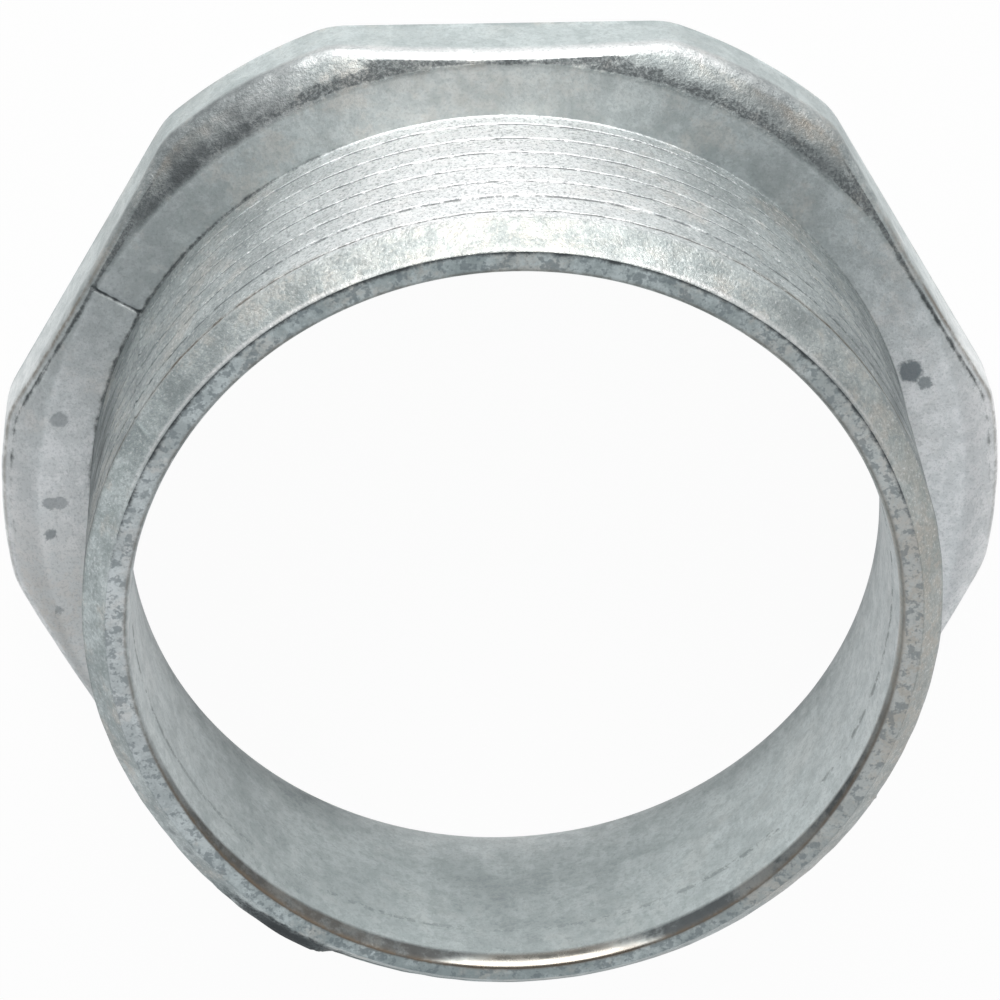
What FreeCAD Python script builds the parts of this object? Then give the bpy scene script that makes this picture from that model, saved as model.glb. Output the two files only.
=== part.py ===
"""Die-cast chase nipple, trade size 2 1/2, standing on its head.

A hexagon head with its corners turned off carries a short round barrel, whose thread is
left plain here. The nipple goes through a knockout with its head inside the box, so the
way through is smooth: it widens from the thread end to a round mouth in the head.

Frame: millimetres, +Z up the axis from the head to the thread end. The origin is the
centre of the head's back face. One of the head's flats faces +Y.
"""
import FreeCAD, Part
import math
import os

# Barrel
BARREL_DIAMETER = 73.0        # over the thread's crests: the outside of 2 1/2 pipe, 2.875 in
BARREL_LENGTH = 24.9          # from the seat to the thread end
WALL_THICKNESS = 4.1          # between the thread's crests and the straight bore
LEAD_IN_LENGTH = 2.8          # sloped band round the thread end
LEAD_IN_DEPTH = 2.0

# Head
HEAD_THICKNESS = 8.1
SEAT_WIDTH = 5.5              # how far each flat stands out from the barrel
CORNER_STAND_OUT = 2.5        # how far the turned corners stand out past the flats
CORNER_BLEND_RADIUS = 8.0     # where a flat runs into a turned corner
SEAT_MARGIN = 0.8             # from the seat's round edge to the middle of a flat
SEAT_EDGE_SLOPE = 35.0        # degrees, fall of the corners outside the seat
FRONT_EDGE_ROUND = 1.4
BACK_EDGE_BEVEL = 0.4

# Way through
STRAIGHT_BORE_LENGTH = 10.3   # from the thread end
THROAT_TAPER = 3.5            # degrees, the widening towards the head
MOUTH_ABOVE_SEAT = 4.6        # where the throat starts to turn outwards
MOUTH_RADIUS = 9.1
MOUTH_SLOPE = 30.0            # degrees from the axis, at the head's back face
MOUTH_RIM_BEVEL = 0.7         # height and width of the bevel at the back face
BORE_EDGE_BEVEL = 1.0         # the same at the thread end

# Worked out from the sizes above
BARREL_RADIUS = BARREL_DIAMETER / 2
BORE_RADIUS = BARREL_RADIUS - WALL_THICKNESS
FLAT_DISTANCE = BARREL_RADIUS + SEAT_WIDTH
CORNER_RADIUS = FLAT_DISTANCE + CORNER_STAND_OUT
SEAT_RADIUS = FLAT_DISTANCE - SEAT_MARGIN
END_HEIGHT = HEAD_THICKNESS + BARREL_LENGTH

FLATS = 6
AXIS = FreeCAD.Vector(0, 0, 1)
CENTRE = FreeCAD.Vector(0, 0, 0)


def profile_point(radius, height):
    """A point of a turned profile, in the XZ plane."""
    return FreeCAD.Vector(radius, 0, height)


def turned(edges):
    """Turn a closed profile of edges about the axis."""
    face = Part.Face(Part.Wire(edges))
    return face.revolve(CENTRE, AXIS, 360)


def lines_through(points):
    """Straight edges from each point to the next."""
    return [Part.LineSegment(a, b).toShape() for a, b in zip(points, points[1:])]


def edges_where(shape, test):
    """The shape's edges whose every tested point passes."""
    return [edge for edge in shape.Edges
            if all(test(edge.valueAt(at)) for at in edge.ParameterRange + (edge_middle(edge),))]


def edge_middle(edge):
    """The parameter half way along an edge."""
    first, last = edge.ParameterRange
    return (first + last) / 2


def hexagon_prism():
    """A six-sided prism with a flat facing +Y."""
    half_turn = math.pi / FLATS
    reach = FLAT_DISTANCE / math.cos(half_turn)
    angles = [math.pi / 2 + half_turn * (2 * side + 1) for side in range(FLATS + 1)]
    corners = [FreeCAD.Vector(reach * math.cos(a), reach * math.sin(a), 0) for a in angles]
    corners[-1] = corners[0]
    return Part.Face(Part.Wire(lines_through(corners))).extrude(AXIS * HEAD_THICKNESS)


def head_turning():
    """The turned body that trims the prism: corner circle and the slope outside the seat."""
    fall = (CORNER_RADIUS - SEAT_RADIUS) * math.tan(math.radians(SEAT_EDGE_SLOPE))
    points = [
        profile_point(0, 0),
        profile_point(CORNER_RADIUS, 0),
        profile_point(CORNER_RADIUS, HEAD_THICKNESS - fall),
        profile_point(SEAT_RADIUS, HEAD_THICKNESS),
        profile_point(0, HEAD_THICKNESS),
        profile_point(0, 0),
    ]
    return turned(lines_through(points))


def head():
    """Hexagon head: corners turned off, flats blended into them, front edge rounded."""
    prism = hexagon_prism().common(Part.makeCylinder(CORNER_RADIUS, HEAD_THICKNESS))
    upright = [edge for edge in prism.Edges
               if abs(edge.tangentAt(edge_middle(edge)).z) > 0.99 and len(edge.Vertexes) == 2]
    prism = prism.makeFillet(CORNER_BLEND_RADIUS, upright)
    blank = prism.common(head_turning())
    outside = SEAT_RADIUS + 0.1 * SEAT_MARGIN

    def on_front_rim(point):
        return math.hypot(point.x, point.y) > outside and point.z > HEAD_THICKNESS / 2

    def on_back_rim(point):
        return math.hypot(point.x, point.y) > outside and point.z < 1e-6

    blank = blank.makeFillet(FRONT_EDGE_ROUND, edges_where(blank, on_front_rim))
    return blank.makeChamfer(BACK_EDGE_BEVEL, edges_where(blank, on_back_rim))


def barrel():
    """Round barrel with its lead-in; its foot is sunk in the head."""
    foot = HEAD_THICKNESS / 2
    return turned(lines_through([
        profile_point(0, foot),
        profile_point(BARREL_RADIUS, foot),
        profile_point(BARREL_RADIUS, END_HEIGHT - LEAD_IN_LENGTH),
        profile_point(BARREL_RADIUS - LEAD_IN_DEPTH, END_HEIGHT),
        profile_point(0, END_HEIGHT),
        profile_point(0, foot),
    ]))


def way_through():
    """The hollow: straight at the thread end, then a tapered throat and a round mouth."""
    taper = math.radians(THROAT_TAPER)
    slope = math.radians(MOUTH_SLOPE)
    straight_end = END_HEIGHT - STRAIGHT_BORE_LENGTH
    turn_start = HEAD_THICKNESS + MOUTH_ABOVE_SEAT
    turn_radius = BORE_RADIUS + (straight_end - turn_start) * math.tan(taper)

    def on_turn(angle):
        """Where the mouth's arc leans out from the axis by an angle."""
        out = MOUTH_RADIUS * (math.cos(taper) - math.cos(angle))
        down = MOUTH_RADIUS * (math.sin(angle) - math.sin(taper))
        return profile_point(turn_radius + out, turn_start - down)

    turn_end = on_turn(slope)
    rim_radius = turn_end.x + (turn_end.z - MOUTH_RIM_BEVEL) * math.tan(slope)
    arc = Part.Arc(on_turn(taper), on_turn((taper + slope) / 2), turn_end).toShape()
    above = lines_through([
        profile_point(0, END_HEIGHT),
        profile_point(BORE_RADIUS + BORE_EDGE_BEVEL, END_HEIGHT),
        profile_point(BORE_RADIUS, END_HEIGHT - BORE_EDGE_BEVEL),
        profile_point(BORE_RADIUS, straight_end),
        on_turn(taper),
    ])
    below = lines_through([
        turn_end,
        profile_point(rim_radius, MOUTH_RIM_BEVEL),
        profile_point(rim_radius + MOUTH_RIM_BEVEL, 0),
        profile_point(0, 0),
        profile_point(0, END_HEIGHT),
    ])
    return turned(above + [arc] + below)


def chase_nipple():
    """Head and barrel in one casting, with the way through cut in both."""
    return head().fuse(barrel()).cut(way_through()).Solids[0]


def main():
    """Write the one solid."""
    os.makedirs("parts", exist_ok=True)
    solid = chase_nipple()
    if not solid.isValid():
        raise RuntimeError("the casting is not a valid solid")
    solid.exportStep("parts/chase_nipple.step")
    print("chase_nipple volume %.1f mm3" % solid.Volume)


main()
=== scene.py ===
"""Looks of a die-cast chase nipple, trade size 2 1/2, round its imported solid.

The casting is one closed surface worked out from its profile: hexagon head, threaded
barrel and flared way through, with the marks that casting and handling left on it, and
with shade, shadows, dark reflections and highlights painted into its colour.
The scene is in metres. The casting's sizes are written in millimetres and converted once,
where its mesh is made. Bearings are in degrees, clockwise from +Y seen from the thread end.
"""

from math import radians

import bmesh
import bpy
import numpy as np
from bpy.props import FloatProperty, FloatVectorProperty, IntProperty, PointerProperty
from bpy.types import Operator, Panel, PropertyGroup
from mathutils import Matrix, Vector


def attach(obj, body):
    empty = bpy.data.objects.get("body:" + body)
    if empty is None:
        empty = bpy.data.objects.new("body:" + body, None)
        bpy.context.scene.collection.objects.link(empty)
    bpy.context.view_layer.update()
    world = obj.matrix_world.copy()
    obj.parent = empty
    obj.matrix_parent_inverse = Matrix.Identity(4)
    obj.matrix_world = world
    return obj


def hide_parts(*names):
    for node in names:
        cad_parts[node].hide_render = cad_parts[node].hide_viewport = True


bl_info = {
    "name": "Chase Nipple",
    "version": (1, 0, 0),
    "blender": (4, 5, 0),
    "location": "View3D > Sidebar > Nipple",
    "description": "Builds a die-cast chase nipple and a pale studio round it",
    "category": "Add Mesh",
}

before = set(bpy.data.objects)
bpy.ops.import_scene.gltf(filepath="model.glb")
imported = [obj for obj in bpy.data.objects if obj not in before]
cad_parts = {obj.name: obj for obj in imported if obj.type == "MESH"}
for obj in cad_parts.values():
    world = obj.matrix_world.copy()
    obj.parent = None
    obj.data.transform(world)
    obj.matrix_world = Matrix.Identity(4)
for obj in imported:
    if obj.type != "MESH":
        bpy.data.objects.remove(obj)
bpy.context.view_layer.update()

MM = 0.001
WELD_DISTANCE = 2e-7           # metres
COLLAPSE_DISTANCE = 1e-8

# Barrel and thread, millimetres. Heights are from the head's back face.
BARREL_RADIUS = 36.5
SEAT_HEIGHT = 8.1
END_HEIGHT = 33.0
BARREL_LENGTH = END_HEIGHT - SEAT_HEIGHT
THREAD_PITCH = 3.175
FIRST_GROOVE = 3.87            # from the thread end, on the side that faces +Y
FIRST_TURN = -2                # turns are counted from the thread end; these two pass it
LAST_TURN = 7
START_BEARING = 206.5          # where the first crest begins
RUN_IN_DEPTH = 0.6             # how low the metal is before the first crest
HALF_MOUTH = 0.19              # half the width of a groove at the crests
HALF_FLOOR = 0.05
EXTRA_OPENING = 0.12           # how much wider the groove is along one stretch of it
EXTRA_PLACE = (1.45, 0.45)     # that stretch's middle and width, in turns down the helix
LEAD_IN_HEIGHT = 2.8           # sloped band round the thread end
LEAD_IN_DEPTH = 2.0
START_LUMP = 1.5               # how far the first crest stands up into the lead-in

# Head
FLAT_DISTANCE = 42.0
CORNER_RADIUS = 44.45
CORNER_BLEND = 0.42
SEAT_RADIUS = 41.2
SHOULDER_SLOPE = radians(35.0)
SEAT_ROUND = (0.35, 0.05)      # width and height of the soft edge round the seat
FRONT_ROUND = 1.1
BACK_ROUND = 0.4
SHOULDER_BULGE = 0.06          # share of the shoulder's width that its middle stands up

# Way through
BORE_RADIUS = 32.4
RIM_LEAN = (44.0, 74.0)        # degrees the round rim leans in, at the ring and at the bore
RIM_INSET = 0.35               # from the rim's inner edge to the straight bore
RIM_LEAST = 0.45               # share of the rim's size away from the side that faces -Y
RIM_FOOT = ((0.75, 0.45), (0.4, 1.1), (0.12, 1.9), (0.0, 2.6))  # share of the inset, drop
STRAIGHT_FOOT = 22.7
WITNESS_HEIGHT = 28.2          # faint ridge round the bore where two parts of the mould met
WITNESS_DEPTH = 0.05
TURN_TOP = 12.7
TURN_RADIUS = 9.1
TAPER = radians(3.5)
MOUTH_SLOPE = radians(30.0)
MOUTH_BEVEL = 0.7

# The mould parts along one plane through the axis: its two sides, in degrees from +X.
SEAM_ANGLES = (149.3, 149.3 - 180.0)
SEAM_HALF_WIDTH = 0.16         # millimetres
SEAM_RIDGE = 0.1               # height of its line up the barrel
SEAM_COLUMNS = (-0.62, -0.36, -0.2, 0.0, 0.2, 0.36, 0.62)  # degrees beside the seam
START_COLUMNS = (-1.0, -0.5, 0.0, 0.5, 1.0, 1.5, 2.0)      # degrees beside the first crest

# Uneven skin: seed, number of waves, most waves round the axis, steepest wave along it
CREST_RIPPLE = (5, 24, 60, 1.0)
SIDE_RIPPLE = (11, 40, 90, 2.5)
SEAT_RIPPLE = (12, 40, 90, 3.0)
SIDE_UNEVEN = 0.02             # millimetres that a ripple moves the skin
SEAT_UNEVEN = 0.015

# Soft patches on one side of the casting: bearing, width in degrees, and strength
BESIDE_FLATS = ((294.0, 30.0, 1.0), (64.0, 30.0, 1.0), (0.0, 24.0, 0.7))
# Painted shade with brown grime in the last groove
SHADED_GRIMY_GROOVE = ((50.0, 26.0, 1.0), (312.0, 26.0, 1.0))
# Painted shade on the head's upper side, the shoulder's upper corners and the barrel's sides;
# darker patches on the lead-in
SHADED_HEAD = ((315.0, 24.0, 0.8), (34.0, 18.0, 0.9), (358.0, 18.0, 0.5))
SHADED_SHOULDER = ((322.0, 26.0, 0.6), (36.0, 24.0, 0.4))
SHADED_THREAD = ((66.0, 36.0, 1.0), (277.0, 32.0, 1.2), (318.0, 16.0, 0.3))
DARKER_LEAD_IN = ((44.0, 22.0, 1.0), (318.0, 22.0, 1.0), (358.0, 26.0, 0.65))
# Painted light on the head's left and right
LIT_HEAD = ((96.0, 26.0, 1.6), (262.0, 30.0, 0.95))
CLEAN_LIP = ((36.0, 26.0, 1.0), (320.0, 26.0, 1.0))
SANDY_CORNERS = ((318.0, 7.0, 1.0), (38.0, 12.0, 1.0))
SANDY_SEAT = ((254.0, 12.0, 0.5), (356.0, 20.0, 0.35))

# The stretch of the rim that handling has rubbed bright
RUBBED_BEARING = 175.0
RUBBED_FADE = (13.0, 21.0)     # degrees to either side, where it starts to fade and is gone
RUBBED_TAPER = 7.0             # degrees less at the bore than at the ring

# Noise of the skin: waves to the metre, detail and roughness
NOISES = {
    "clouds": (190.0, 6.0, 0.7),
    "warmth": (140.0, 6.0, 0.75),
    "mottle": (620.0, 6.0, 0.75),
    "fleck": (1500.0, 2.0, 0.6),
    "grain": (3600.0, 3.0, 0.7),
}
DRAWN_NOISE = (420.0, 6.0, 0.75)
DRAWN_STRETCH = (1.0, 1.0, 0.3)  # draws the noise out along the axis
GRAIN_HEIGHT = 0.00009           # metres

# Layers of the mesh that its material reads
LAYERS = ("groove", "painted_shade", "sparkling", "smooth", "ring", "polished", "shade_and_dirt", "brown",
          "clean", "sandy")

# Stains and pits: x, y and height of the middle, radius, all in millimetres, and strength
STAINS = (
    (-39.0, 8.6, 8.1, 0.8, 0.5), (-39.2, 0.5, 8.1, 0.65, 0.5), (-40.1, 0.45, 8.1, 0.65, 0.55),
    (-40.0, -2.6, 8.1, 0.6, 0.65), (-42.7, 5.9, 7.6, 0.5, 0.6), (-43.2, -9.6, 7.0, 0.6, 0.6),
    (-39.7, -10.1, 8.1, 0.45, 0.45), (35.9, 11.7, 8.1, 1.1, 0.85), (37.2, 10.6, 8.1, 0.7, 0.7),
    (-29.5, -19.6, 31.6, 0.55, 0.6), (-28.0, -21.4, 31.6, 0.6, 0.6),
    (-24.0, -25.8, 31.6, 0.6, 0.6),
)

# Camera, turned about the middle of the seat
CAMERA_ROLL = radians(-1.256)
CAMERA_TILT = radians(-26.026)
CAMERA_YAW = radians(-2.679)
CAMERA_OFFSET = (-0.262, -0.080, 433.466)  # millimetres, along the camera's own axes

# Studio
FLOOR_HALF = 3.0               # metres
FLOOR_GREY = (0.82, 0.82, 0.82)
FLOOR_SEEN = 0.96              # share of plain white that the camera sees in the floor
FLOOR_MIRRORED = 0.6           # the same for metal
KEY_DIRECTION = (0.0, 1.0, 0.25)
KEY_DISTANCE = 0.9
KEY_SIZE = 0.8
KEY_COLOUR = (1.0, 0.975, 0.95)
SKY_COLOUR = (0.93, 0.97, 1.0, 1.0)
WHITE = (1.0, 1.0, 1.0, 1.0)
DARK_END = (0.0, 0.44, 0.90)   # direction in which the studio is dark, behind the camera
DARK_FADE = (0.74, 0.96)       # cosines from that direction where dark begins and is full
SIDE_FADE = (0.3, 0.95)        # share of a direction along X where the light changes
SIDE_LEVELS = (1.15, 0.55)     # light in the middle and at both sides


def smooth_step(value, low, high):
    """0 below low, 1 above high, and an even S between them."""
    t = np.clip((value - low) / (high - low), 0.0, 1.0)
    return t * t * (3.0 - 2.0 * t)


def ripple(angle, height, seed, waves, finest, tallest):
    """Uneven skin: a sum of sine waves round the axis and along it, about one deep at most."""
    rng = np.random.default_rng(seed)
    total = np.zeros(np.broadcast(angle, height).shape)
    for _ in range(waves):
        around = rng.integers(3, finest)
        along = rng.uniform(-tallest, tallest)
        total += np.sin(around * angle + along * height + rng.uniform(0.0, 2.0 * np.pi))
    return total / np.sqrt(waves)


def bell(distance, width):
    """1 at no distance and falling softly to nothing over a few widths."""
    return np.exp(-(distance / width) ** 2)


def column_angles(count):
    """Columns' angles clockwise from +Y, from the last to the first.

    They are evenly spread, with more beside the mould's seam and the start of the thread.
    """
    even = np.linspace(0.0, 2.0 * np.pi, count, endpoint=False)
    beside = np.radians(SEAM_COLUMNS)
    seams = [np.radians(90.0 - seam) + beside for seam in SEAM_ANGLES]
    start = np.radians(START_BEARING) + np.radians(START_COLUMNS)
    clockwise = np.mod(np.concatenate([even] + seams + [start]), 2.0 * np.pi)
    clockwise = np.unique(np.round(clockwise, 5))
    return clockwise[::-1]


def seam_distance(angle, radius):
    """Distance from the nearer side of the mould's seam, signed, at a place on the skin."""
    turns = [np.mod(angle - radians(seam) + np.pi, 2.0 * np.pi) - np.pi for seam in SEAM_ANGLES]
    nearest = np.where(np.abs(turns[0]) < np.abs(turns[1]), turns[0], turns[1])
    return nearest * radius


def head_outline(angle):
    """Radius of the head's side: the nearer of six flats and one circle, blended softly."""
    from_flat = np.mod(angle - np.pi / 2.0 + np.pi / 6.0, np.pi / 3.0) - np.pi / 6.0
    flat = FLAT_DISTANCE / np.cos(from_flat)
    nearness = np.maximum(CORNER_BLEND - np.abs(flat - CORNER_RADIUS), 0.0) / CORNER_BLEND
    return np.minimum(flat, CORNER_RADIUS) - 0.25 * CORNER_BLEND * nearness ** 2


def groove_depth(across, half_mouth, half_floor, depth):
    """Depth of a blunt V at a distance across it: level floor, straight flanks."""
    flank = np.maximum(half_mouth - half_floor, 1e-6)
    return depth * np.clip((half_mouth - np.abs(across)) / flank, 0.0, 1.0)


def lead_in_depth(clockwise, from_end):
    """Depth of the sloped band round the end: a straight cone.

    Beside the start of the first crest it is shorter, by a lump that rises fast and falls
    slowly.
    """
    past_start = np.mod(np.degrees(clockwise) - START_BEARING + 2.0, 360.0)
    rise = smooth_step(past_start, 0.0, 5.0)
    lump = START_LUMP * rise * (1.0 - smooth_step(past_start, 8.0, 34.0))
    return LEAD_IN_DEPTH * np.clip(1.0 - from_end / (LEAD_IN_HEIGHT - lump), 0.0, 1.0)


def thread_rows(clockwise, groove):
    """Barrel's rows from root to end: radius, height and how deep in a groove, from 0 to 1.

    Each turn has the same rows, set across its groove, and a row follows the helix: it
    lies one pitch lower after a turn. Rows past an end of the barrel stop there.
    """
    one_side = np.array([0.4, 0.3, 0.22, 0.15, 0.1, 0.075, 0.055, 0.035, 0.015])  # pitches
    across = THREAD_PITCH * np.concatenate([[0.5], one_side, [0.0], -one_side[::-1]])
    turns = np.repeat(np.arange(LAST_TURN, FIRST_TURN - 1, -1), len(across))[:, None]
    across = np.tile(across, LAST_TURN - FIRST_TURN + 1)[:, None]
    around = clockwise[None, :] / (2.0 * np.pi)
    centre = FIRST_GROOVE + THREAD_PITCH * (turns + around)
    from_end = np.clip(centre + across, 0.0, BARREL_LENGTH)
    across = from_end - centre

    # How far down the helix a place is, in turns from where the first crest begins
    along = turns + around + 1.0 - START_BEARING / 360.0
    worn = 0.08 * ripple(clockwise[None, :], 0.0, *CREST_RIPPLE)
    middle, width = EXTRA_PLACE
    wide = HALF_MOUTH + 0.06 * worn + EXTRA_OPENING * bell(along - middle, width)
    opening = HALF_FLOOR + (wide - HALF_FLOOR) * smooth_step(along, 0.0, 0.2)
    half_mouth = np.where(across < 0.0, opening, wide)
    run_out = 1.0 - smooth_step(from_end, BARREL_LENGTH - 1.2, BARREL_LENGTH - 0.3)
    depth = groove_depth(across, half_mouth, HALF_FLOOR, (groove + 0.5 * worn) * run_out)

    # Before the first crest begins, the metal above the groove is missing
    unborn = 1.0 - smooth_step(along, -0.004, 0.004)
    depth = np.where(across < 0.0, np.maximum(depth, RUN_IN_DEPTH * unborn), depth)

    lead_in = lead_in_depth(clockwise, from_end)
    depth = np.maximum(depth, lead_in)
    grooved = np.clip((depth - lead_in) / groove, 0.0, 1.0)
    return BARREL_RADIUS - depth, END_HEIGHT - from_end, grooved


def arc_rows(centre_radius, centre_height, radius, from_angle, to_angle, count):
    """Rows along an arc of the profile; each is a radius and a height, angles from outwards."""
    turns = np.radians(np.linspace(from_angle, to_angle, count))
    return [(centre_radius + radius * np.cos(a), centre_height + radius * np.sin(a))
            for a in turns]


def straight_rows(start, end, count):
    """Rows spread evenly between two rows, both left out."""
    shares = np.linspace(0.0, 1.0, count + 2)[1:-1]
    return [(start[0] + (end[0] - start[0]) * s, start[1] + (end[1] - start[1]) * s)
            for s in shares]


def rim_rows(angle, rounding):
    """An arc over the bore's edge, largest on the side that faces -Y, and its foot below."""
    size = RIM_LEAST + (1.0 - RIM_LEAST) * smooth_step(-np.sin(angle), 0.4, 0.98)
    leans = np.radians(np.linspace(*RIM_LEAN, 6))
    across = RIM_INSET + rounding * (np.sin(leans[-1]) - np.sin(leans))
    down = rounding * (np.cos(leans[0]) - np.cos(leans))
    rim = [(BORE_RADIUS + size * a, END_HEIGHT - size * d) for a, d in zip(across, down)]
    foot = [(BORE_RADIUS + size * share * RIM_INSET, rim[-1][1] - drop)
            for share, drop in RIM_FOOT]
    return rim, foot


def inside_rows(angle, rounding):
    """From the barrel's end inwards and down: ring, rim, straight bore, throat, mouth."""
    rim, rim_foot = rim_rows(angle, rounding)
    ring_out = (BARREL_RADIUS - LEAD_IN_DEPTH - 0.05, END_HEIGHT)
    ring = [ring_out] + straight_rows(ring_out, rim[0], 7)
    witness = [(BORE_RADIUS, WITNESS_HEIGHT + 0.25),
               (BORE_RADIUS - WITNESS_DEPTH, WITNESS_HEIGHT),
               (BORE_RADIUS - 0.6 * WITNESS_DEPTH, WITNESS_HEIGHT - 0.4)]
    straight_end = (BORE_RADIUS, STRAIGHT_FOOT)
    turn_radius = BORE_RADIUS + (STRAIGHT_FOOT - TURN_TOP) * np.tan(TAPER)
    centre = (turn_radius + TURN_RADIUS * np.cos(TAPER), TURN_TOP + TURN_RADIUS * np.sin(TAPER))
    turn = arc_rows(*centre, TURN_RADIUS, 180 + np.degrees(TAPER),
                    180 + np.degrees(MOUTH_SLOPE), 9)
    foot = (turn[-1][0] + (turn[-1][1] - MOUTH_BEVEL) * np.tan(MOUTH_SLOPE), MOUTH_BEVEL)
    return {
        "ring": ring,
        "bore_rim": rim,
        "bore": rim_foot + witness + straight_rows(witness[-1], straight_end, 4) + [straight_end]
        + straight_rows(straight_end, turn[0], 6),
        "mouth": turn + straight_rows(turn[-1], foot, 5),
        "mouth_rim": [foot, (foot[0] + 0.25, 0.38), (foot[0] + MOUTH_BEVEL, 0.0)],
    }


def head_rows(angle, back_start, root_radius):
    """From the back's inner edge outwards, up the side and over the shoulder to the root.

    Both edges of the side are arcs, and the shoulder bulges by a parabola across its slope.
    """
    side = head_outline(angle)
    lean = np.degrees(SHOULDER_SLOPE)
    fall = (side - SEAT_RADIUS) * np.tan(SHOULDER_SLOPE)
    setback = FRONT_ROUND * np.tan((np.pi / 2.0 - SHOULDER_SLOPE) / 2.0)
    back = straight_rows(back_start, (side - BACK_ROUND, 0.0), 3)
    back_edge = arc_rows(side - BACK_ROUND, BACK_ROUND, BACK_ROUND, -90, 0, 7)
    front_edge = arc_rows(side - FRONT_ROUND, SEAT_HEIGHT - fall - setback, FRONT_ROUND,
                          0, 90 - lean, 7)
    crease = (SEAT_RADIUS, SEAT_HEIGHT - SEAT_ROUND[1])
    seat_out = (SEAT_RADIUS - SEAT_ROUND[0], SEAT_HEIGHT)
    shares = np.linspace(0.0, 1.0, 8)[1:-1]
    across = front_edge[-1][0] - crease[0]
    slope = [(r, h + 4.0 * SHOULDER_BULGE * across * s * (1.0 - s))
             for (r, h), s in zip(straight_rows(front_edge[-1], crease, 6), shares)]
    root = (root_radius, SEAT_HEIGHT)
    near_root = (root_radius + 0.8, SEAT_HEIGHT)
    return {
        "back": back,
        "back_edge": back_edge,
        "side": straight_rows(back_edge[-1], front_edge[0], 5),
        "front_edge": front_edge,
        "shoulder": slope + [crease],
        "seat": [seat_out] + straight_rows(seat_out, near_root, 7) + [near_root]
        + straight_rows(near_root, root, 5),
    }


def casting_surface(sizes):
    """The whole skin: angles of the columns, radius, height and groove share, row names."""
    clockwise = column_angles(sizes.columns)
    angle = np.pi / 2.0 - clockwise
    thread = thread_rows(clockwise, sizes.groove_depth / MM)
    inside = inside_rows(angle, sizes.rim_radius / MM)
    head = head_rows(angle, inside["mouth_rim"][-1], thread[0][0])
    groups = {**inside, **head}
    rows = [row for group in groups.values() for row in group]
    radius = np.array([np.broadcast_to(r, angle.shape) for r, _ in rows], dtype=float)
    height = np.array([np.broadcast_to(h, angle.shape) for _, h in rows], dtype=float)
    names = np.repeat(list(groups), [len(group) for group in groups.values()])
    names = np.concatenate([np.repeat("thread", len(thread[0])), names])
    grooved = np.concatenate([thread[2], np.zeros(radius.shape)])
    radius = np.concatenate([thread[0], radius])
    height = np.concatenate([thread[1], height])
    return angle, radius, height, grooved, names


class Skin:
    """The casting's surface as its marks see it: each place, its bearing and its stretch."""

    def __init__(self, angle, radius, height, names):
        self.angle = np.broadcast_to(angle, radius.shape)
        self.radius = radius
        self.height = height
        self.names = names
        self.bearing = np.degrees(np.pi / 2.0 - self.angle)
        self.from_seat = radius - SEAT_RADIUS
        self.from_side = head_outline(self.angle) - radius

    def on(self, *stretches):
        """1 on the rows of some stretches of the profile and 0 on the others."""
        return np.isin(self.names, stretches)[:, None].astype(float)

    def toward(self, bearing, width, strength=1.0):
        """A strength on the side that faces a bearing, falling softly away from it."""
        return strength * bell(np.mod(self.bearing - bearing + 180.0, 360.0) - 180.0, width)

    def patches(self, places):
        """Sum of soft patches, each with its bearing, width and strength."""
        return sum(self.toward(*place) for place in places)

    def on_lead_in(self):
        """1 on the sloped band round the thread end."""
        foot = END_HEIGHT - LEAD_IN_HEIGHT
        return self.on("thread") * smooth_step(self.height, foot - 0.3, foot + 0.3)

    def on_turns(self):
        """1 on the thread's own turns, between the seat and the lead-in."""
        return self.on("thread") - self.on_lead_in()

    def up_side(self):
        """1 on the side that faces +Y and 0 on the others."""
        return smooth_step(np.sin(self.angle), 0.4, 0.75)

    def deep(self):
        """1 down in the mouth, fading to 0 up in the throat."""
        return 1.0 - smooth_step(self.height, 6.0, 19.0)


def casting_marks(skin, seam_depth):
    """Moves the skin a little: the mould's seam, and the unevenness that casting leaves."""
    on_top = skin.on("shoulder", "seat")
    line = bell(seam_distance(skin.angle, skin.radius), SEAM_HALF_WIDTH)
    clear_of_root = smooth_step(skin.height, SEAT_HEIGHT, SEAT_HEIGHT + 0.6)
    clear_of_end = 1.0 - smooth_step(skin.height, END_HEIGHT - 0.8, END_HEIGHT)
    on_barrel = skin.on("thread") * clear_of_root * clear_of_end
    uneven = ripple(skin.angle, skin.height, *SIDE_RIPPLE)
    outwards = SIDE_UNEVEN * uneven * (on_barrel + skin.on("side", "front_edge"))
    outwards = outwards + SEAM_RIDGE * line * on_barrel
    upwards = SEAT_UNEVEN * ripple(skin.angle, skin.radius, *SEAT_RIPPLE) - seam_depth * line
    return skin.radius + outwards, skin.height + upwards * on_top


def from_rubbed(skin):
    """Degrees from the middle of the rim's rubbed stretch."""
    return np.abs(skin.bearing % 360.0 - RUBBED_BEARING)


def rubbed(skin):
    """1 on the rubbed stretch of the rim, which is shorter towards the bore."""
    inner = 1.0 - smooth_step(skin.radius - BORE_RADIUS, 0.3, 0.95)
    return 1.0 - smooth_step(from_rubbed(skin) + RUBBED_TAPER * inner, *RUBBED_FADE)


def shaded_rim(skin):
    """1 on the stretches of the rim to both sides of the rubbed one, where a dark reflection is
    painted.
    """
    near = 1.0 - smooth_step(from_rubbed(skin), 55.0, 85.0)
    return skin.on("bore_rim") * (1.0 - rubbed(skin)) * near


def shaded_grimy_groove(skin):
    """1 along the groove nearest the thread end, on two sides, where shade is painted with brown
    grime.
    """
    signed = np.mod(skin.bearing + 180.0, 360.0) - 180.0
    from_end = FIRST_GROOVE + THREAD_PITCH * signed / 360.0
    line = bell(END_HEIGHT - skin.height - from_end, 0.35) * skin.on("thread")
    return line * skin.patches(SHADED_GRIMY_GROOVE)


def shadow_crescent(skin):
    """1 on a crescent of the lead-in beside the start of the first crest, where a shadow is
    painted.
    """
    high = smooth_step(skin.radius, 34.6, 35.4)
    return high * skin.toward(214.0, 9.0) * skin.on_lead_in()


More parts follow.
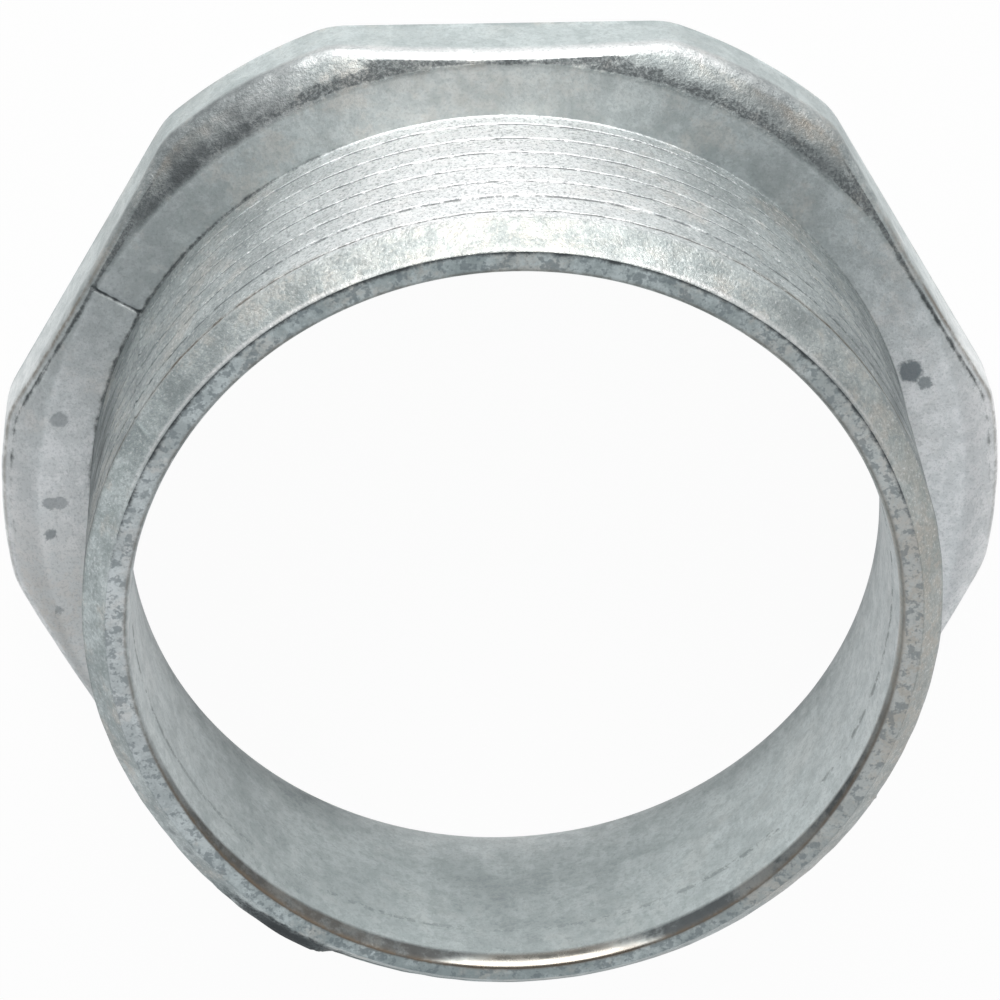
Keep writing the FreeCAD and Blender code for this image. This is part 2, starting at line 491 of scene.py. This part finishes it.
def shoulder_shade_band(skin):
    """Painted dark reflection: a band just outside the seat's round edge on the upper side,
    stronger the wider the shoulder is there.
    """
    band = smooth_step(skin.from_seat, -0.1, 0.2) * (1.0 - smooth_step(skin.from_seat, 0.4, 2.3))
    wide = smooth_step(head_outline(skin.angle) - SEAT_RADIUS, 0.9, 1.8)
    strength = np.maximum(0.35 + 0.65 * wide, skin.toward(300.0, 26.0, 0.9))
    return strength * band * skin.up_side()


def shade_and_dirt_layer(skin):
    """Painted shadow at the barrel's root and in a crescent of the lead-in, painted dark
    reflections on the shoulder, inside the upper flats, along the ring's outer edge and round
    the rim's highlight, painted shade in the last groove, and dirt along the mould's seam.
    """
    on_top = skin.on("shoulder", "seat")
    # Painted shadow along the barrel's root, mostly on the upper left
    root_radius = skin.radius[skin.names == "thread"][0]
    root = bell(skin.radius - root_radius, 0.35) * bell(skin.height - SEAT_HEIGHT, 0.4)
    root = root * skin.toward(304.0, 38.0, 0.85) * skin.on("shoulder", "seat", "thread")
    seam = bell(seam_distance(skin.angle, skin.radius), 0.2) * on_top
    # Painted dark reflection along the ring's outer edge, on the upper side
    ring_edge = bell(skin.radius - BARREL_RADIUS + LEAD_IN_DEPTH, 0.35)
    ring_edge = ring_edge * skin.on("ring", "bore_rim") * smooth_step(np.sin(skin.angle), 0.0, 0.5)
    # Painted shade below the rim's highlight
    under_rim = bell(skin.height - END_HEIGHT + 1.5, 0.7) * rubbed(skin)
    under_rim = under_rim * skin.on("bore_rim", "bore", "mouth")
    # Painted dark reflection just inside the middles of the three upper flats
    beside_flats = bell(skin.from_side - 0.75, 0.25) * skin.patches(BESIDE_FLATS) * on_top
    return (root + 0.95 * shoulder_shade_band(skin) * on_top + 0.8 * seam + 0.8 * ring_edge
            + 1.4 * shadow_crescent(skin) + 0.75 * shaded_grimy_groove(skin) + 0.55 * shaded_rim(skin)
            + 0.35 * under_rim + 0.75 * beside_flats)


def painted_shade_layer(skin):
    """Painted shade: darker on the head's upper side, the shoulder's upper corners and its dark
    band, both sides of the barrel, the rim beside its highlight and in the bore; darker patches
    on the lead-in.
    """
    # Painted shade in the bore: lower left, near the rim at the bottom, and deep in the mouth
    # except at the bottom
    bore = skin.toward(222.0, 24.0, 0.3) + (1.0 - skin.deep()) * skin.toward(174.0, 24.0, 0.35)
    bore = bore + 0.55 * skin.deep() * (1.0 - skin.toward(182.0, 24.0, 0.9))
    return (0.25 * skin.patches(SHADED_HEAD) * skin.on("seat", "shoulder", "front_edge", "side")
            + skin.patches(SHADED_SHOULDER) * skin.on("shoulder", "front_edge")
            + 0.3 * shoulder_shade_band(skin) * skin.on("shoulder")
            + 0.7 * skin.patches(SHADED_THREAD) * skin.on_turns()
            + 0.5 * skin.patches(DARKER_LEAD_IN) * skin.on_lead_in()
            + 1.05 * shaded_rim(skin) + bore * skin.on("bore", "mouth"))


def lit_and_clean_layer(skin):
    """Painted light and lighter metal: painted light on the head's left and right, the barrel's
    top, the left and right of the ring, rim and bore and deep in the bore at the bottom, and a
    painted highlight along the top flat's front edge; lighter metal on the seat, in a patch on
    the shoulder and along the lead-in's top edge.
    """
    sides = np.cos(skin.angle) ** 4
    lip = bell(skin.height - END_HEIGHT + 0.2, 0.15) * skin.on_lead_in()
    bore = 0.4 * sides + skin.deep() * skin.toward(182.0, 26.0, 0.5)
    return (skin.patches(LIT_HEAD) * skin.on("seat", "shoulder", "front_edge", "side")
            + skin.toward(2.0, 26.0, 1.2) * skin.on("front_edge") + 0.25 * skin.on("seat")
            + skin.toward(331.0, 7.0, 0.35) * skin.on("shoulder")
            + skin.toward(356.0, 26.0) * skin.on_turns() + lip * skin.patches(CLEAN_LIP)
            + 0.5 * sides * skin.on("ring", "bore_rim") + bore * skin.on("bore", "mouth"))


def sandy_layer(skin):
    """Beige film, on two corners of the head, on the seat and round the thread end."""
    on_top = skin.on("shoulder", "seat")
    end = skin.toward(98.0, 40.0, 0.8) * (skin.on("ring", "bore_rim") + skin.on_lead_in())
    return (bell(skin.from_seat - 2.4, 0.9) * skin.patches(SANDY_CORNERS) * on_top
            + skin.patches(SANDY_SEAT) * on_top + end
            + skin.toward(356.0, 30.0, 0.45) * skin.on_lead_in())


def brown_layer(skin):
    """Brown lines: between ring and rim, in the last groove and along the head's flats."""
    low = smooth_step(-np.sin(skin.angle), 0.1, 1.0)
    rim_radius = skin.radius[skin.names == "bore_rim"][0]
    rim_line = bell(skin.radius - rim_radius, 0.14) * skin.on("ring", "bore_rim")
    flat_line = bell(skin.from_side - 0.25, 0.12) * skin.patches(BESIDE_FLATS)
    flat_line = flat_line * skin.on("front_edge") * (1.0 - skin.up_side())
    return (rim_line * (0.6 + 0.4 * low) + 0.9 * flat_line
            + 0.65 * shaded_grimy_groove(skin) + shaded_rim(skin) * skin.toward(222.0, 30.0, 0.35))


def sparkling_layer(skin):
    """Rough skin that glints, on the thread and on the shoulder's upper side, but not in the
    painted shadow of the crescent.
    """
    thread = skin.on("thread") * (1.0 - 0.5 * skin.on_lead_in()) * (1.0 - shadow_crescent(skin))
    return thread + 0.5 * skin.on("shoulder", "front_edge") * skin.up_side()


def painted_layers(skin):
    """Every layer that the material reads, by its name."""
    layers = {
        "shade_and_dirt": np.clip(shade_and_dirt_layer(skin), 0.0, 1.0),
        "painted_shade": painted_shade_layer(skin),
        "clean": np.clip(lit_and_clean_layer(skin), 0.0, 1.0),
        "brown": brown_layer(skin),
        "sandy": np.clip(sandy_layer(skin), 0.0, 1.0),
        "sparkling": sparkling_layer(skin),
        "polished": skin.on("bore_rim") * rubbed(skin),
        "smooth": skin.on("bore", "mouth", "side"),
        "ring": skin.on("ring"),
    }
    return {name: np.broadcast_to(values, skin.radius.shape) for name, values in layers.items()}


def wrapped_faces(rows, columns, threads, turn_rows):
    """Quads of a grid closed both ways; the thread's rows meet one turn on at the wrap."""
    row = np.arange(rows)
    here = row[:, None] * columns + np.arange(columns)[None, :]
    matched = np.where(row < threads, np.minimum(row + turn_rows, threads - 1), row)
    beside = np.roll(here, -1, axis=1)
    beside[:, -1] = matched * columns
    above = np.roll(here, -1, axis=0)
    beside_above = np.roll(beside, -1, axis=0)
    return np.stack([here, beside, beside_above, above], axis=-1).reshape(-1, 4)


def mesh_from_grid(name, points, faces, layers):
    """A mesh object at the origin from points, quads and one number per point and layer."""
    mesh = bpy.data.meshes.new(name)
    mesh.from_pydata(points.tolist(), [], faces.tolist())
    for layer, values in layers.items():
        attribute = mesh.attributes.new(layer, "FLOAT", "POINT")
        attribute.data.foreach_set("value", values.astype(np.float32).ravel())
    work = bmesh.new()
    work.from_mesh(mesh)
    bmesh.ops.remove_doubles(work, verts=work.verts, dist=WELD_DISTANCE)
    bmesh.ops.dissolve_degenerate(work, dist=COLLAPSE_DISTANCE, edges=work.edges)
    work.to_mesh(mesh)
    work.free()
    mesh.shade_smooth()
    piece = bpy.data.objects.new(name, mesh)
    bpy.context.scene.collection.objects.link(piece)
    return piece


def build_casting(sizes):
    """The casting's mesh, with layers that tell its material where it is worn or dark."""
    angle, radius, height, grooved, names = casting_surface(sizes)
    skin = Skin(angle, radius, height, names)
    layers = {"groove": grooved, **painted_layers(skin)}
    radius, height = casting_marks(skin, sizes.seam_depth / MM)
    points = np.stack([radius * np.cos(angle), radius * np.sin(angle), height], axis=-1)
    threads = int(np.sum(names == "thread"))
    turn_rows = threads // (LAST_TURN - FIRST_TURN + 1)
    faces = wrapped_faces(*radius.shape, threads, turn_rows)
    return mesh_from_grid("casting", points.reshape(-1, 3) * MM, faces, layers)


# Materials

class Sheet:
    """A node tree that is filled from left to right, one column of nodes after another."""
    column_length = 12
    first_place = (-2600.0, 900.0)
    spacing = (200.0, 180.0)

    def __init__(self, tree):
        self.tree = tree
        self.count = 0

    def node(self, kind, **settings):
        """A new node with its properties set."""
        column, row = divmod(self.count, self.column_length)
        self.count += 1
        made = self.tree.nodes.new(kind)
        made.location = (self.first_place[0] + self.spacing[0] * column,
                         self.first_place[1] - self.spacing[1] * row)
        for name, value in settings.items():
            setattr(made, name, value)
        return made

    def feed(self, target, source):
        """Link a socket to a source, or give it the value where the source is none."""
        if isinstance(source, bpy.types.NodeSocket):
            self.tree.links.new(source, target)
        else:
            target.default_value = source

    def math(self, operation, *values):
        """The result of a Math node on numbers or sockets."""
        made = self.node("ShaderNodeMath", operation=operation)
        for socket, value in zip(made.inputs, values):
            self.feed(socket, value)
        return made.outputs[0]

    def times(self, first, second):
        """The product of two numbers or sockets."""
        return self.math("MULTIPLY", first, second)

    def larger(self, first, second):
        """The larger of two numbers or sockets."""
        return self.math("MAXIMUM", first, second)

    def ramp(self, value, low, high, to_low=0.0, to_high=1.0):
        """A value spread smoothly from one range to another."""
        made = self.node("ShaderNodeMapRange", interpolation_type="SMOOTHSTEP")
        for socket, number in zip(made.inputs, (value, low, high, to_low, to_high)):
            self.feed(socket, number)
        return made.outputs[0]

    def vector(self, operation, first, second):
        """The results of a Vector Math node on a socket and three numbers."""
        made = self.node("ShaderNodeVectorMath", operation=operation)
        self.feed(made.inputs[0], first)
        made.inputs[1].default_value = second
        return made.outputs

    def axis(self, where, name):
        """One of the three numbers of a place."""
        made = self.node("ShaderNodeSeparateXYZ")
        self.feed(made.inputs[0], where)
        return made.outputs[name]

    def noise(self, where, scale, detail, roughness):
        """Cloudy noise, from 0 to 1, at a scale in waves to the metre."""
        made = self.node("ShaderNodeTexNoise")
        self.feed(made.inputs["Vector"], where)
        made.inputs["Scale"].default_value = scale
        made.inputs["Detail"].default_value = detail
        made.inputs["Roughness"].default_value = roughness
        return made.outputs["Fac"]

    def layer(self, name):
        """One of the mesh's own layers."""
        return self.node("ShaderNodeAttribute", attribute_name=name).outputs["Fac"]

    def covered(self, colour, share, cover):
        """A colour with another laid over it by a share."""
        made = self.node("ShaderNodeMix", data_type="RGBA")
        self.feed(made.inputs["Factor"], share)
        self.feed(made.inputs["A"], colour)
        self.feed(made.inputs["B"], tint(cover))
        return made.outputs["Result"]

    def mixed_shaders(self, share, first, second, target):
        """Feed a socket with two shaders mixed by a share."""
        made = self.node("ShaderNodeMixShader")
        self.feed(made.inputs["Fac"], share)
        self.feed(made.inputs[1], first.outputs[0])
        self.feed(made.inputs[2], second.outputs[0])
        self.feed(target, made.outputs[0])


def tint(colour):
    """A colour property with its alpha."""
    return (colour[0], colour[1], colour[2], 1.0)


def clouded_colour(sheet, looks, layers, noises):
    """Cast grey with dull and warm clouds, blotches and flecks, fainter on smooth places."""
    smooth = layers["smooth"]
    clouds = sheet.times(sheet.ramp(noises["clouds"], 0.42, 0.6),
                         sheet.ramp(smooth, 0.0, 1.0, 1.0, 0.4))
    colour = sheet.covered(tint(looks.zinc), clouds, looks.zinc_dull)
    warm = sheet.times(sheet.ramp(noises["warmth"], 0.5, 0.62, 0.0, 0.6),
                       sheet.ramp(smooth, 0.0, 1.0, 1.0, 0.2))
    colour = sheet.covered(colour, warm, looks.warm)
    blotches = sheet.times(sheet.ramp(noises["mottle"], 0.48, 0.57, 0.0, 0.5),
                           sheet.ramp(smooth, 0.0, 1.0, 1.0, 0.6))
    colour = sheet.covered(colour, blotches, looks.zinc_dull)
    return sheet.covered(colour, sheet.ramp(noises["fleck"], 0.56, 0.62, 0.0, 0.35),
                         looks.zinc_dull)


def filmed_colour(sheet, looks, layers, noises, colour):
    """The colour with painted light and lighter, cleaner metal laid over it, and where it has a
    sandy film.
    """
    # Painted light and lighter metal, a little patchy
    clean = sheet.times(layers["clean"], sheet.ramp(noises["mottle"], 0.42, 0.53, 1.0, 0.75))
    colour = sheet.covered(colour, clean, looks.clean)
    sandy = sheet.times(layers["sandy"], sheet.ramp(noises["mottle"], 0.42, 0.56, 1.0, 0.45))
    return sheet.covered(colour, sandy, looks.sandy)


def grained_colour(sheet, looks, layers, noises, colour):
    """Dark specks of the grain and painted glints on it, streaks on smooth places, pits on the
    ring.
    """
    sparkling = layers["sparkling"]
    specks = sheet.times(sheet.larger(sparkling, 0.35),
                         sheet.ramp(noises["grain"], 0.5, 0.64, 0.0, 0.65))
    colour = sheet.covered(colour, specks, looks.speck)
    # Painted highlights: near-white glints on the grain, fainter in the painted shade and dirt
    glinting = sheet.times(sparkling, sheet.ramp(layers["shade_and_dirt"], 0.0, 0.8, 1.0, 0.25))
    painted_glints = sheet.times(glinting, sheet.ramp(noises["grain"], 0.34, 0.43, 0.8, 0.0))
    colour = sheet.covered(colour, painted_glints, looks.clean)
    streaks = sheet.times(layers["smooth"], sheet.ramp(noises["drawn"], 0.48, 0.58, 0.0, 0.22))
    colour = sheet.covered(colour, streaks, looks.zinc_dull)
    pits = sheet.times(layers["ring"], sheet.ramp(noises["fleck"], 0.5, 0.6, 0.0, 0.5))
    return sheet.covered(colour, pits, looks.stain)


def witness_line(sheet, where, layers, noises):
    """A broken line of grime along the faint ridge round the bore."""
    off_line = sheet.math("ABSOLUTE", sheet.math(
        "SUBTRACT", sheet.axis(where, "Z"), WITNESS_HEIGHT * MM))
    line = sheet.times(layers["smooth"], sheet.ramp(off_line, 0.15 * MM, 0.5 * MM, 0.4, 0.0))
    return sheet.times(line, sheet.ramp(noises["mottle"], 0.47, 0.55))


def ragged_shade_and_dirt(sheet, layers, noises):
    """The painted shade and dirt layer with an uneven edge, and with the grain showing where it
    sparkles.
    """
    shade_and_dirt = layers["shade_and_dirt"]
    uneven = sheet.times(sheet.math("SUBTRACT", noises["mottle"], 0.5), 1.6)
    ragged = sheet.times(sheet.ramp(sheet.math("ADD", shade_and_dirt, uneven), 0.2, 0.85),
                         sheet.ramp(shade_and_dirt, 0.0, 0.15))
    covering = sheet.larger(sheet.ramp(noises["grain"], 0.36, 0.6, 0.7, 0.95),
                            sheet.ramp(layers["sparkling"], 0.0, 0.4, 1.0, 0.0))
    return sheet.times(ragged, covering)


def zinc_shade_and_grime(sheet, where, layers, noises, patchy):
    """The strongest of the painted shade and dirt, the painted shade, the darker grooves and the
    witness line.
    """
    shaded = sheet.times(layers["painted_shade"], sheet.ramp(noises["warmth"], 0.35, 0.6, 1.1, 0.7))
    grooved = sheet.times(sheet.ramp(layers["groove"], 0.0, 0.35, 0.0, 0.8), patchy)
    witness = witness_line(sheet, where, layers, noises)
    return sheet.larger(sheet.larger(ragged_shade_and_dirt(sheet, layers, noises), shaded),
                        sheet.larger(grooved, witness))


def stained(sheet, where, noises):
    """The strength of a stain inside its uneven edge, and 0 outside them all."""
    wobble = sheet.times(sheet.math("SUBTRACT", noises["mottle"], 0.5), 2.2 * MM)
    total = 0.0
    for x, y, height, size, strength in STAINS:
        distance = sheet.vector("DISTANCE", where, (x * MM, y * MM, height * MM))["Value"]
        uneven = sheet.math("ADD", distance, wobble)
        inside = sheet.ramp(uneven, 0.75 * size * MM, 1.15 * size * MM, strength, 0.0)
        total = sheet.larger(total, inside)
    return total


def zinc_roughness(sheet, layers, noises, shade_and_grime):
    """Uneven roughness, more where shade and grime are painted and less where the rim is rubbed."""
    rough = sheet.ramp(noises["mottle"], 0.3, 0.7, 0.32, 0.48)
    rough = sheet.math("ADD", rough, sheet.times(shade_and_grime, 0.3))
    return sheet.math("SUBTRACT", rough, sheet.times(layers["polished"], 0.16))


def zinc_bump(sheet, layers, noises):
    """Fine grain and coarser mottle, strongest where it sparkles, weakest where rubbed."""
    strength = sheet.math("SUBTRACT", sheet.ramp(layers["sparkling"], 0.0, 1.0, 0.4, 1.0),
                          sheet.times(layers["polished"], 0.4))
    height = sheet.math("ADD", noises["grain"], sheet.times(noises["mottle"], 2.0))
    bump = sheet.node("ShaderNodeBump")
    bump.inputs["Distance"].default_value = GRAIN_HEIGHT
    sheet.feed(bump.inputs["Strength"], strength)
    sheet.feed(bump.inputs["Height"], height)
    return bump.outputs["Normal"]


def zinc_material(looks):
    """As-cast zinc: clouded grey with painted glints where the mould was rough, darker in the
    thread, with painted shade, shadows and highlights.
    """
    material = bpy.data.materials.new("cast_zinc")
    material.use_nodes = True
    shader = material.node_tree.nodes["Principled BSDF"]
    sheet = Sheet(material.node_tree)
    where = sheet.node("ShaderNodeTexCoord").outputs["Object"]
    layers = {name: sheet.layer(name) for name in LAYERS}
    noises = {name: sheet.noise(where, *pattern) for name, pattern in NOISES.items()}
    drawn_out = sheet.vector("MULTIPLY", where, DRAWN_STRETCH)["Vector"]
    noises["drawn"] = sheet.noise(drawn_out, *DRAWN_NOISE)
    patchy = sheet.ramp(noises["mottle"], 0.4, 0.55, 0.5, 1.0)
    shade_and_grime = zinc_shade_and_grime(sheet, where, layers, noises, patchy)

    colour = clouded_colour(sheet, looks, layers, noises)
    colour = filmed_colour(sheet, looks, layers, noises, colour)
    colour = grained_colour(sheet, looks, layers, noises, colour)
    # Painted shade, shadows and dirt, and the darker grooves
    colour = sheet.covered(colour, shade_and_grime, looks.shade_and_grime)
    colour = sheet.covered(colour, sheet.times(layers["polished"], 0.85), looks.polished)
    colour = sheet.covered(colour, stained(sheet, where, noises), looks.stain)
    colour = sheet.covered(colour, sheet.times(layers["brown"], patchy), looks.brown)

    sheet.feed(shader.inputs["Base Color"], colour)
    shader.inputs["Metallic"].default_value = looks.metallic
    sheet.feed(shader.inputs["Roughness"], zinc_roughness(sheet, layers, noises, shade_and_grime))
    sheet.feed(shader.inputs["Normal"], zinc_bump(sheet, layers, noises))
    return material


def floor_material():
    """A matt pale surface, nearly white to the camera and glowing where metal mirrors it."""
    material = bpy.data.materials.new("pale_floor")
    material.use_nodes = True
    tree = material.node_tree
    tree.nodes.remove(tree.nodes["Principled BSDF"])
    sheet = Sheet(tree)
    matt = sheet.node("ShaderNodeBsdfDiffuse")
    matt.inputs["Color"].default_value = tint(FLOOR_GREY)
    glow = sheet.node("ShaderNodeEmission")
    glow.inputs["Color"].default_value = WHITE
    ray = sheet.node("ShaderNodeLightPath").outputs
    share = sheet.larger(sheet.times(ray["Is Camera Ray"], FLOOR_SEEN),
                         sheet.times(ray["Is Glossy Ray"], FLOOR_MIRRORED))
    surface = tree.nodes["Material Output"].inputs["Surface"]
    sheet.mixed_shaders(share, matt, glow, surface)
    return material


# Stage

def soft_lamp(name, direction, distance, size, power, colour):
    """A square lamp that faces the part from a direction, in metres and watts."""
    lamp = bpy.data.lights.new(name, "AREA")
    lamp.size = size
    lamp.energy = power
    lamp.color = colour
    holder = bpy.data.objects.new(name, lamp)
    away = Vector(direction).normalized()
    holder.location = away * distance + Vector((0.0, 0.0, SEAT_HEIGHT * MM))
    holder.rotation_euler = away.to_track_quat("Z", "Y").to_euler()
    bpy.context.scene.collection.objects.link(holder)


def set_floor():
    """A level square under the part."""
    mesh = bpy.data.meshes.new("floor")
    signs = ((-1, -1), (1, -1), (1, 1), (-1, 1))
    corners = [(x * FLOOR_HALF, y * FLOOR_HALF, 0.0) for x, y in signs]
    mesh.from_pydata(corners, [], [(0, 1, 2, 3)])
    mesh.materials.append(floor_material())
    floor = bpy.data.objects.new("floor", mesh)
    bpy.context.scene.collection.objects.link(floor)


def set_world(level, dark):
    """Pale surround, dimmer behind the camera and to both sides; white where the camera sees it."""
    world = bpy.data.worlds.new("studio")
    world.use_nodes = True
    tree = world.node_tree
    sheet = Sheet(tree)
    direction = sheet.node("ShaderNodeTexCoord").outputs["Generated"]
    behind = sheet.vector("DOT_PRODUCT", direction, DARK_END)["Value"]
    light = sheet.ramp(behind, *DARK_FADE, level, level * dark)
    aside = sheet.math("ABSOLUTE", sheet.axis(direction, "X"))
    light = sheet.times(light, sheet.ramp(aside, *SIDE_FADE, *SIDE_LEVELS))
    surround = tree.nodes["Background"]
    surround.inputs["Color"].default_value = SKY_COLOUR
    sheet.feed(surround.inputs["Strength"], light)
    white = sheet.node("ShaderNodeBackground")
    white.inputs["Color"].default_value = WHITE
    white.inputs["Strength"].default_value = 1.0
    seen = sheet.node("ShaderNodeLightPath").outputs["Is Camera Ray"]
    sheet.mixed_shaders(seen, surround, white, tree.nodes["World Output"].inputs["Surface"])
    bpy.context.scene.world = world


def set_camera(lens):
    """A long lens that looks down on the thread end from the side that faces +Y."""
    camera = bpy.data.cameras.new("camera")
    camera.lens = lens
    camera.sensor_width = 36.0
    camera.clip_start = 0.01
    holder = bpy.data.objects.new("camera", camera)
    turn = (Matrix.Rotation(CAMERA_ROLL, 4, "Z") @ Matrix.Rotation(CAMERA_TILT, 4, "X")
            @ Matrix.Rotation(CAMERA_YAW, 4, "Y"))
    seat_centre = Matrix.Translation((0.0, 0.0, SEAT_HEIGHT * MM))
    holder.matrix_world = seat_centre @ turn @ Matrix.Translation(Vector(CAMERA_OFFSET) * MM)
    bpy.context.scene.collection.objects.link(holder)
    bpy.context.scene.camera = holder


# Add-on

class NippleSizes(PropertyGroup):
    columns: IntProperty(
        name="Columns", description="Columns of the casting's mesh round its axis",
        default=368, min=90, max=600)
    groove_depth: FloatProperty(
        name="Groove depth", description="Depth of the thread's groove below its crests",
        subtype="DISTANCE", unit="LENGTH", precision=5, default=0.00026, min=0.00005, max=0.001)
    rim_radius: FloatProperty(
        name="Rim radius", description="Radius of the bore's round rim at the thread end",
        subtype="DISTANCE", unit="LENGTH", precision=5, default=0.0024, min=0.0002, max=0.0028)
    seam_depth: FloatProperty(
        name="Seam depth", description="Depth of the mould's line across the seat",
        subtype="DISTANCE", unit="LENGTH", precision=5, default=0.00014, min=0.0, max=0.0005)


class NippleLooks(PropertyGroup):
    zinc: FloatVectorProperty(
        name="Zinc", description="Clean as-cast zinc", subtype="COLOR", size=3,
        default=(0.60, 0.665, 0.67), min=0.0, max=1.0)
    zinc_dull: FloatVectorProperty(
        name="Dull zinc", description="Weathered patches", subtype="COLOR", size=3,
        default=(0.36, 0.415, 0.42), min=0.0, max=1.0)
    # Colour of the painted shade and shadows, of the dirt and of the darker grooves
    shade_and_grime: FloatVectorProperty(
        name="Grime", description="Dirt in the thread", subtype="COLOR", size=3,
        default=(0.085, 0.095, 0.10), min=0.0, max=1.0)
    warm: FloatVectorProperty(
        name="Warm zinc", description="Faintly brown clouds", subtype="COLOR", size=3,
        default=(0.60, 0.575, 0.53), min=0.0, max=1.0)
    sandy: FloatVectorProperty(
        name="Sandy film", description="Beige film on the corners and the thread end",
        subtype="COLOR", size=3, default=(0.50, 0.46, 0.40), min=0.0, max=1.0)
    # Colour of the painted light, the painted glints and the lighter, cleaner metal
    clean: FloatVectorProperty(
        name="Clean zinc", description="The lighter sides of the seat", subtype="COLOR", size=3,
        default=(0.98, 0.99, 1.0), min=0.0, max=1.0)
    speck: FloatVectorProperty(
        name="Specks", description="Dark hollows of the rough skin", subtype="COLOR", size=3,
        default=(0.22, 0.25, 0.26), min=0.0, max=1.0)
    polished: FloatVectorProperty(
        name="Polished rim", description="The rubbed rim of the bore at the thread end",
        subtype="COLOR", size=3, default=(0.22, 0.20, 0.175), min=0.0, max=1.0)
    stain: FloatVectorProperty(
        name="Stains", description="Spots on the seat and pits on the ring", subtype="COLOR",
        size=3, default=(0.16, 0.19, 0.21), min=0.0, max=1.0)
    brown: FloatVectorProperty(
        name="Brown lines", description="Between ring and rim, in the last groove, by the flats",
        subtype="COLOR", size=3, default=(0.18, 0.148, 0.115), min=0.0, max=1.0)
    metallic: FloatProperty(
        name="Metallic", description="How much the casting mirrors as bare metal",
        subtype="FACTOR", default=0.7, min=0.0, max=1.0)


class StudioLevels(PropertyGroup):
    surround: FloatProperty(
        name="Surround", description="Strength of the even light from all round",
        default=0.56, min=0.0, max=2.0)
    dark: FloatProperty(
        name="Dark end", description="Share of the surround's light behind the camera",
        subtype="FACTOR", default=0.2, min=0.0, max=1.0)
    key: FloatProperty(
        name="Key lamp", description="Power of the lamp on the +Y side",
        subtype="POWER", unit="POWER", default=16.0, min=0.0)
    lens: FloatProperty(
        name="Lens", description="Focal length on a 36 mm sensor",
        subtype="DISTANCE_CAMERA", default=175.786, min=10.0)


class NIPPLE_OT_casting(Operator):
    """Build the casting's visible skin in place of the plain solid"""
    bl_idname = "nipple.casting"
    bl_label = "Casting"

    def execute(self, context):
        scene = context.scene
        piece = build_casting(scene.nipple_sizes)
        piece.data.materials.append(zinc_material(scene.nipple_looks))
        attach(piece, "root")
        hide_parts("chase_nipple")
        return {"FINISHED"}


class NIPPLE_OT_studio(Operator):
    """Set the pale floor, the soft lamp, the surround and the camera"""
    bl_idname = "nipple.studio"
    bl_label = "Studio"

    def execute(self, context):
        levels = context.scene.nipple_studio
        set_floor()
        soft_lamp("key", KEY_DIRECTION, KEY_DISTANCE, KEY_SIZE, levels.key, KEY_COLOUR)
        set_world(levels.surround, levels.dark)
        set_camera(levels.lens)
        context.scene.view_settings.view_transform = "Standard"
        return {"FINISHED"}


class NIPPLE_PT_panel(Panel):
    """Sizes, finish and studio of the chase nipple"""
    bl_label = "Chase Nipple"
    bl_space_type = "VIEW_3D"
    bl_region_type = "UI"
    bl_category = "Nipple"

    def draw(self, context):
        scene = context.scene
        column = self.layout.column()
        for name in ("columns", "groove_depth", "rim_radius", "seam_depth"):
            column.prop(scene.nipple_sizes, name)
        for name in ("zinc", "zinc_dull", "warm", "sandy", "clean", "speck", "shade_and_grime", "polished",
                     "stain", "brown", "metallic"):
            column.prop(scene.nipple_looks, name)
        for name in ("surround", "dark", "key", "lens"):
            column.prop(scene.nipple_studio, name)
        column.operator(NIPPLE_OT_casting.bl_idname)
        column.operator(NIPPLE_OT_studio.bl_idname)


CLASSES = (NippleSizes, NippleLooks, StudioLevels, NIPPLE_OT_casting, NIPPLE_OT_studio,
           NIPPLE_PT_panel)


def register():
    for item in CLASSES:
        bpy.utils.register_class(item)
    bpy.types.Scene.nipple_sizes = PointerProperty(type=NippleSizes)
    bpy.types.Scene.nipple_looks = PointerProperty(type=NippleLooks)
    bpy.types.Scene.nipple_studio = PointerProperty(type=StudioLevels)


def unregister():
    del bpy.types.Scene.nipple_studio
    del bpy.types.Scene.nipple_looks
    del bpy.types.Scene.nipple_sizes
    for item in reversed(CLASSES):
        bpy.utils.unregister_class(item)


def main():
    """Register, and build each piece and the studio."""
    register()
    bpy.ops.nipple.casting()
    bpy.ops.nipple.studio()


if __name__ == "__main__":
    main()
